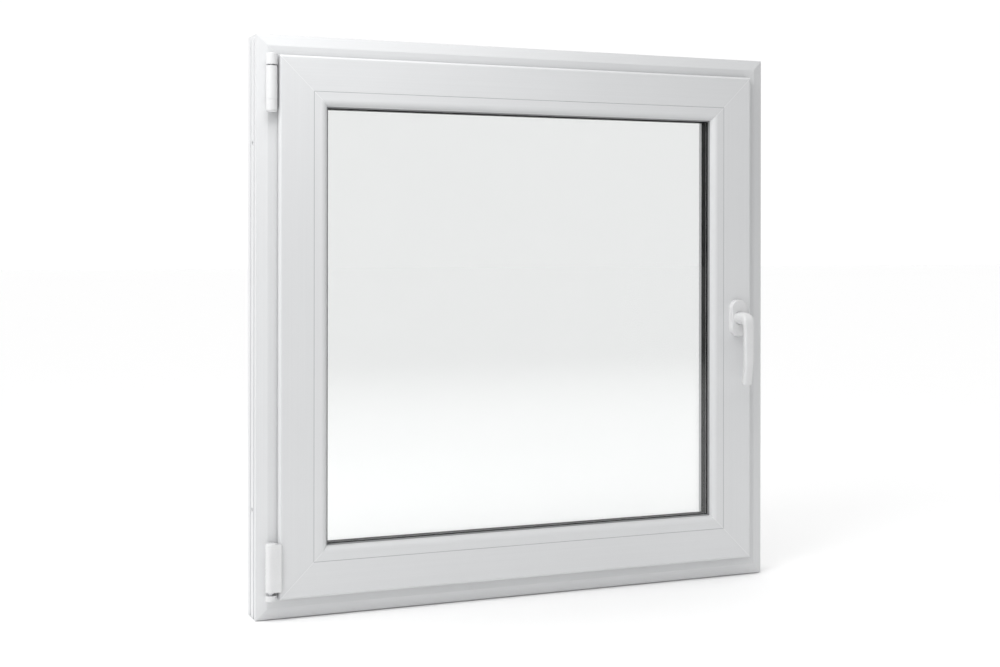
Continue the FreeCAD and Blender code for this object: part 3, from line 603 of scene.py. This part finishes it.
# Where a screw's head centre is, which way it points, and its length and widths.
def screwPlace(points):
    low = Vector([min(p[n] for p in points) for n in range(3)])
    high = Vector([max(p[n] for p in points) for n in range(3)])
    size = high - low
    along = max(range(3), key=lambda n: size[n])
    center = (low + high) / 2

    # how far the points at one end stand off the screw's middle line
    def reach(end):
        near = [p for p in points if abs(p[along] - end) < 0.1e-3]
        return max(((p - center) * Vector([n != along for n in range(3)])).length for p in near)

    headAtLow = reach(low[along]) > reach(high[along])
    head = center.copy()
    head[along] = low[along] if headAtLow else high[along]
    way = Vector((0, 0, 0))
    way[along] = 1 if headAtLow else -1
    ends = sorted((reach(low[along]), reach(high[along])))
    return {"head": head, "way": way, "length": size[along], "headRadius": ends[1], "shankRadius": ends[0]}


# Starts a geometry tree with named inputs; gives back the tree, a wire and an identifier for each.
def startTree(name, inputs, result):
    group = bpy.data.node_groups.new(name, "GeometryNodeTree")
    ids = {}
    for title, (kind, value) in inputs.items():
        made = group.interface.new_socket(name=title, in_out="INPUT", socket_type="NodeSocket" + kind)
        if value is not None:
            made.default_value = value
        ids[title] = made.identifier
    group.interface.new_socket(name=result, in_out="OUTPUT", socket_type="NodeSocketGeometry")
    tree = Tree(group)
    given = tree.node("NodeGroupInput")
    return tree, {title: Wire(tree, given.outputs[title]) for title in inputs}, ids


# Ends a geometry tree: the shape on every point, turned along its "way", realized and painted.
def endTree(tree, points, shape, paint):
    way = tree.node("GeometryNodeInputNamedAttribute", {"data_type": "FLOAT_VECTOR"}, {"Name": "way"})
    way = Wire(tree, way.outputs[0])
    facing = tree.add("FunctionNodeAlignRotationToVector", {"axis": "Z"}, {"Vector": way})
    sockets = {"Points": points, "Instance": shape, "Rotation": facing}
    placed = tree.add("GeometryNodeInstanceOnPoints", {}, sockets)
    real = tree.add("GeometryNodeRealizeInstances", {}, {"Geometry": placed})
    done = tree.add("GeometryNodeSetMaterial", {}, {"Geometry": real, "Material": paint})
    tree.nodeTree.links.new(done.socket, tree.node("NodeGroupOutput").inputs[0])


# Runs a geometry tree once on a carrier mesh and gives back a plain object.
def grow(name, carrier, tree, values, body):
    source = bpy.data.objects.new(name + "Seed", carrier)
    bpy.context.scene.collection.objects.link(source)
    modifier = source.modifiers.new("grow", "NODES")
    modifier.node_group = tree.nodeTree
    for identifier, value in values.items():
        modifier[identifier] = value
    evaluated = source.evaluated_get(bpy.context.evaluated_depsgraph_get())
    mesh = bpy.data.meshes.new_from_object(evaluated)
    mesh.name = name
    bpy.data.objects.remove(source)
    made = bpy.data.objects.new(name, mesh)
    bpy.context.scene.collection.objects.link(made)
    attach(made, body)
    return made


screw = {
    "recess": 0.0009,
    "recessLong": 1.15,
    "headHigh": 0.0018,
    "ridges": 3700.0,
    "ridgeHigh": 0.00022,
    "ridgeSink": 0.0001,
    "rings": 25,
}


# A countersunk screw with a cross recess and thread ridges, set on every point of the carrier.
def screwTree():
    tree, given, ids = startTree("screwSetter", {
        "Points": ("Geometry", None),
        "Head Radius": ("Float", 0.0038),
        "Head Height": ("Float", 0.0014),
        "Shank Radius": ("Float", 0.002),
        "Length": ("Float", 0.02),
        "Recess Width": ("Float", screw["recess"]),
        "Finish": ("Material", None),
    }, "Screws")
    head = given["Head Radius"]
    rise = given["Head Height"]
    shank = given["Shank Radius"]
    length = given["Length"]
    sockets = {"Vertices": 28, "Radius Top": shank, "Radius Bottom": head, "Depth": rise}
    cone = tree.add("GeometryNodeMeshCone", {}, sockets)
    sockets = {"Vertices": 14, "Side Segments": screw["rings"], "Radius": shank, "Depth": length - rise}
    threads = tree.add("GeometryNodeMeshCylinder", {}, sockets)
    lift = tree.add("ShaderNodeCombineXYZ", {}, {"Z": rise + (length - rise) * 0.5})
    threads = tree.add("GeometryNodeTransform", {}, {"Geometry": threads, "Translation": lift})
    height = tree.add("ShaderNodeSeparateXYZ", {}, {0: tree.add("GeometryNodeInputPosition")}, output="Z")
    wave = (height * screw["ridges"]).math("SINE") * screw["ridgeHigh"] - screw["ridgeSink"]
    normal = tree.add("GeometryNodeInputNormal")
    outward = tree.add("ShaderNodeVectorMath", {"operation": "MULTIPLY"}, {0: normal, 1: (1, 1, 0)})
    push = tree.add("ShaderNodeVectorMath", {"operation": "SCALE"}, {0: outward, "Scale": wave})
    threads = tree.add("GeometryNodeSetPosition", {}, {"Geometry": threads, "Offset": push})
    sockets = {"X": head * screw["recessLong"], "Y": given["Recess Width"], "Z": rise}
    armSize = tree.add("ShaderNodeCombineXYZ", {}, sockets)
    bar = tree.add("GeometryNodeMeshCube", {}, {"Size": armSize})
    turned = tree.add("GeometryNodeTransform", {}, {"Geometry": bar, "Rotation": (0, 0, math.pi / 2)})
    exact = {"operation": "DIFFERENCE", "solver": "EXACT"}
    cut = tree.node("GeometryNodeMeshBoolean", exact, {"Mesh 1": cone})
    links = tree.nodeTree.links
    links.new(bar.socket, cut.inputs["Mesh 2"])
    links.new(turned.socket, cut.inputs["Mesh 2"])
    both = tree.node("GeometryNodeJoinGeometry")
    links.new(cut.outputs[0], both.inputs[0])
    links.new(threads.socket, both.inputs[0])
    endTree(tree, given["Points"], Wire(tree, both.outputs[0]), given["Finish"])
    return tree, ids


screwSetter, screwIds = screwTree()
screws = {
    "bearingScrews": ("bearing_screws", "frame"),
    "bandScrews": ("band_screws", "sash"),
    "strikerScrews": ("striker_screws", "frame"),
    "faceplateScrews": ("faceplate_screws", "sash"),
    "rosetteScrews": ("rosette_screws", "sash"),
}


# One new screw in the place of each screw of the node.
def makeScrews(name, node, body):
    places = [screwPlace(points) for points in solidsOf(node)]
    carrier = bpy.data.meshes.new(name + "Points")
    carrier.from_pydata([p["head"] for p in places], [], [])
    way = carrier.attributes.new("way", "FLOAT_VECTOR", "POINT")
    for n, p in enumerate(places):
        way.data[n].vector = p["way"]
    first = places[0]
    values = {
        screwIds["Head Radius"]: first["headRadius"],
        screwIds["Shank Radius"]: first["shankRadius"],
        screwIds["Length"]: min(p["length"] for p in places),
        screwIds["Head Height"]: min(screw["headHigh"], first["headRadius"] - first["shankRadius"]),
        screwIds["Finish"]: zincSteel,
    }
    made = grow(name, carrier, screwSetter, values, body)
    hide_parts(node)
    print(name, len(places), "screws")


for name, (node, body) in screws.items():
    makeScrews(name, node, body)

spacer = {
    "pitch": 0.0034,
    "hole": 0.00042,
    "stripe": 0.0013,
    "inFromGlass": 0.0014,
    "proud": 0.00004,
    "endGap": 0.004,
}
spacerPale = makeMoulded("spacerPale", (0.52, 0.53, 0.54), (0.4, 0.41, 0.42), 0.35)
# Painted shade: near-black discs stand for the shade inside the breathing holes.
spacerHole = makeMoulded("spacerHole", (0.015, 0.015, 0.016), (0.01, 0.01, 0.01), 0.7)


# Small discs of painted shade at even steps along each run of the carrier: the dark inside of the bar's
# breathing holes.
def holeTree():
    tree, given, ids = startTree("breathingHoles", {
        "Line": ("Geometry", None),
        "Pitch": ("Float", spacer["pitch"]),
        "Hole Radius": ("Float", spacer["hole"]),
        "Finish": ("Material", None),
    }, "Holes")
    curve = tree.add("GeometryNodeMeshToCurve", {}, {"Mesh": given["Line"]})
    sockets = {"Curve": curve, "Length": given["Pitch"]}
    steps = tree.add("GeometryNodeResampleCurve", {"mode": "LENGTH"}, sockets)
    points = tree.add("GeometryNodeCurveToPoints", {"mode": "EVALUATED"}, {"Curve": steps})
    sockets = {"Vertices": 8, "Radius": given["Hole Radius"]}
    disc = tree.add("GeometryNodeMeshCircle", {"fill_type": "NGON"}, sockets)
    endTree(tree, points, disc, given["Finish"])
    return tree, ids


# The four inner faces of the spacer: a point at each end and the way the face looks.
def spacerRuns():
    low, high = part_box("spacer_bar")
    tall = high.z - low.z
    inner = [v.co for v in nodes["spacer_bar"].data.vertices if abs(v.co.x) < tall / 2 - 0.002]
    inside = max(abs(p.x) for p in inner)
    cx = (low.x + high.x) / 2
    cz = (low.z + high.z) / 2
    y = low.y + spacer["inFromGlass"]
    signs = ((-1, -1), (1, -1), (1, 1), (-1, 1))
    corners = [Vector((cx + sx * inside, y, cz + sz * inside)) for sx, sz in signs]
    ways = [Vector((0, 0, 1)), Vector((-1, 0, 0)), Vector((0, 0, -1)), Vector((1, 0, 0))]
    return [(corners[n], corners[(n + 1) % 4], ways[n]) for n in range(4)]


# The spacer's row of breathing holes, drawn as discs of painted shade, and the pale line beside it.
def makeSpacerMarks():
    tree, ids = holeTree()
    carrier = bpy.data.meshes.new("holeLines")
    runs = spacerRuns()
    places = []
    for start, end, way in runs:
        along = (end - start).normalized() * spacer["endGap"]
        lift = way * spacer["proud"] * 2
        places += [start + along + lift, end - along + lift]
    carrier.from_pydata(places, [(2 * n, 2 * n + 1) for n in range(4)], [])
    attribute = carrier.attributes.new("way", "FLOAT_VECTOR", "POINT")
    for n, (start, end, way) in enumerate(runs):
        attribute.data[2 * n].vector = way
        attribute.data[2 * n + 1].vector = way
    holes = grow("spacerHoles", carrier, tree, {ids["Finish"]: spacerHole}, "sash")
    work = bmesh.new()
    half = Vector((0, spacer["stripe"] / 2, 0))
    for start, end, way in runs:
        lift = way * spacer["proud"]
        corners = [start - half, start + half, end + half, end - half]
        bottom = [work.verts.new(c) for c in corners]
        top = [work.verts.new(c + lift) for c in corners]
        work.faces.new(top)
        work.faces.new(bottom[::-1])
        bridge(work, bottom, top)
    stripe = piece("spacerStripe", work, spacerPale, "sash")


makeSpacerMarks()
print("spacer marked")

stage = {
    "floor": 30.0,
    "drop": 0.0015,
    "floorColor": (0.99, 0.99, 0.99),
    "farColor": (0.16, 0.16, 0.16),
    "darkFrom": -5.0,
    "darkOver": 3.0,
}


# A pale floor that darkens well in front of the window, so that the glass mirrors little.
def makeFloor():
    work = bmesh.new()
    half = stage["floor"]
    signs = ((-1, -1), (1, -1), (1, 1), (-1, 1))
    work.faces.new([work.verts.new((x * half, y * half, -stage["drop"])) for x, y in signs])
    mesh = bpy.data.meshes.new("floor")
    work.to_mesh(mesh)
    work.free()
    floor = bpy.data.objects.new("floor", mesh)
    bpy.context.scene.collection.objects.link(floor)
    material, tree, shader = finish("floorPaper", Roughness=0.9, Specular_IOR_Level=0.1)
    grain = tree.noise(3, 2)
    pale = [c * 0.995 for c in stage["floorColor"]]
    color = tree.blend(grain, pale, stage["floorColor"])
    inFront = tree.under(tree.axis("Y"), stage["darkFrom"], stage["darkOver"])
    feed(tree, shader, Base_Color=tree.blend(inFront, color, stage["farColor"]))
    mesh.materials.append(material)


makeFloor()

studio = {
    "behind": 1.02,
    "above": 1.1,
    "across": [(0.0, 1.35), (0.3, 0.75), (0.5, 0.06), (0.68, 0.03), (0.78, 0.03), (1.0, 0.03)],
    "behindFrom": -0.1,
    "behindOver": 0.35,
    "aboveFrom": 0.25,
    "aboveOver": 0.5,
    "key": {"at": (-1.6, -0.7, 1.7), "size": 0.7, "power": 5, "aim": (-0.2, 0.0, 0.6)},
    "top": {"at": (-0.55, -0.6, 1.6), "size": 0.6, "power": 6, "aim": (-0.2, 0.0, 0.7)},
}


# A white room, brightest behind, above and to the left of the window, and dim on its right.
def makeWorld():
    world = bpy.data.worlds.new("studio")
    bpy.context.scene.world = world
    world.use_nodes = True
    tree = Tree(world.node_tree)
    way = tree.add("ShaderNodeTexCoord", output="Generated")
    split = tree.node("ShaderNodeSeparateXYZ", {}, {0: way})
    x, y, z = (Wire(tree, part) for part in split.outputs)
    stops = [(place, (level / 2, level / 2, level / 2, 1)) for place, level in studio["across"]]
    front = tree.add("ShaderNodeValToRGB", {"stops": stops}, {"Fac": x * 0.5 + 0.5}) * 2
    behind = 1 - tree.under(y, studio["behindFrom"], studio["behindOver"])
    above = 1 - tree.under(z, studio["aboveFrom"], studio["aboveOver"])
    light = front + behind * (studio["behind"] - front)
    light = light + above * (studio["above"] - light)
    background = world.node_tree.nodes["Background"]
    background.inputs["Color"].default_value = (1, 1, 1, 1)
    world.node_tree.links.new(light.socket, background.inputs["Strength"])


def makeLamp(name, facts):
    light = bpy.data.lights.new(name, "AREA")
    light.shape = "DISK"
    light.size = facts["size"]
    light.energy = facts["power"]
    lamp = bpy.data.objects.new(name, light)
    lamp.location = facts["at"]
    toward = Vector(facts["aim"]) - Vector(facts["at"])
    lamp.rotation_euler = toward.to_track_quat("-Z", "Y").to_euler()
    bpy.context.scene.collection.objects.link(lamp)


makeWorld()
makeLamp("keyLight", studio["key"])
makeLamp("topLight", studio["top"])

view = {
    "at": (-0.97385, -2.30346, 0.59309),
    "sensor": 36,
    "lens": 52.96,
    "turn": -0.38628,
    "roll": 0.0011,
    "shift": -0.0910,
}


def makeCamera():
    data = bpy.data.cameras.new("camera")
    data.sensor_width = view["sensor"]
    data.lens = view["lens"]
    data.shift_y = view["shift"]
    camera = bpy.data.objects.new("camera", data)
    camera.matrix_world = (
        Matrix.Translation(view["at"])
        @ Matrix.Rotation(view["turn"], 4, "Z")
        @ Matrix.Rotation(math.pi / 2, 4, "X")
        @ Matrix.Rotation(view["roll"], 4, "Z")
    )
    bpy.context.scene.collection.objects.link(camera)
    bpy.context.scene.camera = camera


makeCamera()
bpy.context.scene.view_settings.view_transform = "Standard"
print("scene lit, camera set")
